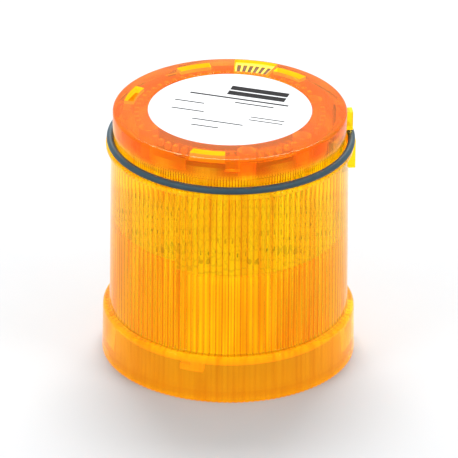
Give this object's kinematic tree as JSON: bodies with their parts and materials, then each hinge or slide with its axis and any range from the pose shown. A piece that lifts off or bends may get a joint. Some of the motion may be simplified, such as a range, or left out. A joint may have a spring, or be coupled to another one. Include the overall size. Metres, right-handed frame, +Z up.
{
  "type": "signal tower light element",
  "caption": "Round amber flashing light element for a stackable signal tower: fluted lens, collar socket, sealed bayonet neck and sprung contact pins.",
  "frame": {"origin": "centre of the collar's lower rim, on the plane that it stands on", "axes": "+Z up the tower along the lens's axis, -Y the front, +X right; the alignment key is 7 degrees from +X toward +Y"},
  "size_m": [0.07, 0.07, 0.0723],
  "materials": {
    "amber_lens": "clear amber polycarbonate, glossy",
    "seal": "satin",
    "label_white": "satin printed film",
    "amber_plastic": "translucent amber, moulded",
    "insulator": "yellow, moulded",
    "bronze": "rolled contact bronze",
    "pin_metal": "plated, polished",
    "spring_steel": "drawn wire",
    "screw_steel": "zinc plated",
    "board": "solder mask",
    "spacer": "moulded nylon",
    "lamp_package": "moulded",
    "lamp_dome": "clear resin",
    "reflector_white": "gloss white",
    "black_case": "moulded epoxy",
    "capacitor": "sleeved can",
    "ferrite": "ferrite drum",
    "ceramic": "fired ceramic"
  },
  "bodies": {
    "module": {"lens_housing": "amber_lens", "seal_ring": "seal", "rating_label": "label_white", "base_plate": "amber_plastic", "inner_carrier": "amber_plastic", "base_screws": "screw_steel", "upper_contact_guide": "insulator", "lower_contact_block": "insulator", "side_contact_strip": "bronze", "main_board": "board", "lamp_board": "board", "board_spacers": "spacer", "board_screws": "screw_steel", "lamps": "lamp_package", "lamp_domes": "lamp_dome", "lamp_resistors": "black_case", "reflector_cone": "reflector_white", "reflector_screws": "screw_steel", "smoothing_capacitor": "capacitor", "supply_choke": "ferrite", "flasher_chip": "black_case", "lamp_driver": "black_case", "bridge_rectifier": "black_case", "surge_diode": "black_case", "ceramic_capacitors": "ceramic", "chip_resistors": "black_case", "board_link": "black_case", "contact_strip_1": "bronze", "contact_spring_1": "spring_steel", "contact_strip_2": "bronze", "contact_spring_2": "spring_steel", "contact_strip_3": "bronze", "contact_spring_3": "spring_steel", "contact_strip_4": "bronze", "contact_spring_4": "spring_steel", "contact_strip_5": "bronze", "contact_spring_5": "spring_steel", "contact_strip_6": "bronze", "contact_spring_6": "spring_steel"},
    "pin_1": {"contact_pin_1": "pin_metal"},
    "pin_2": {"contact_pin_2": "pin_metal"},
    "pin_3": {"contact_pin_3": "pin_metal"},
    "pin_4": {"contact_pin_4": "pin_metal"},
    "pin_5": {"contact_pin_5": "pin_metal"},
    "pin_6": {"contact_pin_6": "pin_metal"}
  },
  "joints": [
    {"name": "contact_pin_1_travel", "type": "slide", "parent": "module", "child": "pin_1", "axis": [0, 0, 1], "range_m": [0, 0.0015], "stiffness_N_per_m": 120, "springref_m": -0.001, "deforming": ["contact_spring_1"]},
    {"name": "contact_pin_2_travel", "type": "slide", "parent": "module", "child": "pin_2", "axis": [0, 0, 1], "range_m": [0, 0.0015], "stiffness_N_per_m": 120, "springref_m": -0.001, "deforming": ["contact_spring_2"]},
    {"name": "contact_pin_3_travel", "type": "slide", "parent": "module", "child": "pin_3", "axis": [0, 0, 1], "range_m": [0, 0.0015], "stiffness_N_per_m": 120, "springref_m": -0.001, "deforming": ["contact_spring_3"]},
    {"name": "contact_pin_4_travel", "type": "slide", "parent": "module", "child": "pin_4", "axis": [0, 0, 1], "range_m": [0, 0.0015], "stiffness_N_per_m": 120, "springref_m": -0.001, "deforming": ["contact_spring_4"]},
    {"name": "contact_pin_5_travel", "type": "slide", "parent": "module", "child": "pin_5", "axis": [0, 0, 1], "range_m": [0, 0.0015], "stiffness_N_per_m": 120, "springref_m": -0.001, "deforming": ["contact_spring_5"]},
    {"name": "contact_pin_6_travel", "type": "slide", "parent": "module", "child": "pin_6", "axis": [0, 0, 1], "range_m": [0, 0.0015], "stiffness_N_per_m": 120, "springref_m": -0.001, "deforming": ["contact_spring_6"]}
  ]
}
